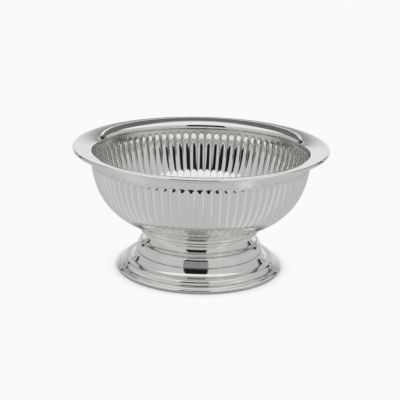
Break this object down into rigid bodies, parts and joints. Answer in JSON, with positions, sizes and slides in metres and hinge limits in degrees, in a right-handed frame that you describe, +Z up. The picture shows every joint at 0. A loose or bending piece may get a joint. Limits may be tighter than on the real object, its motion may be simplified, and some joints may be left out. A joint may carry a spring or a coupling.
{
  "type": "punch bowl",
  "caption": "Footed metal punch bowl: a round fluted bowl with a wide turned-out rim, bolted to a hollow stepped round foot.",
  "frame": {"origin": "on the axis, on the plane the foot stands on", "axes": "+Z up along the bowl's axis, out of its mouth; X and Y level"},
  "size_m": [0.38, 0.38, 0.189],
  "materials": {
    "silver_plate": "bright polished silver plate on brass sheet",
    "wire_brass": "drawn brass wire, hidden in the rolled edges",
    "fastener_brass": "turned brass, dull",
    "fastener_steel": "zinc-plated steel"
  },
  "bodies": {
    "root": {"bowl_shell": "silver_plate", "rim_flange": "silver_plate", "rim_wire": "wire_brass", "foot_neck": "silver_plate", "foot_base": "silver_plate", "foot_edge_wire": "wire_brass", "backing_disc": "fastener_brass", "threaded_stud": "fastener_steel", "clamp_washer": "fastener_brass", "spring_washer": "fastener_steel", "hex_nut": "fastener_steel"}
  },
  "joints": []
}
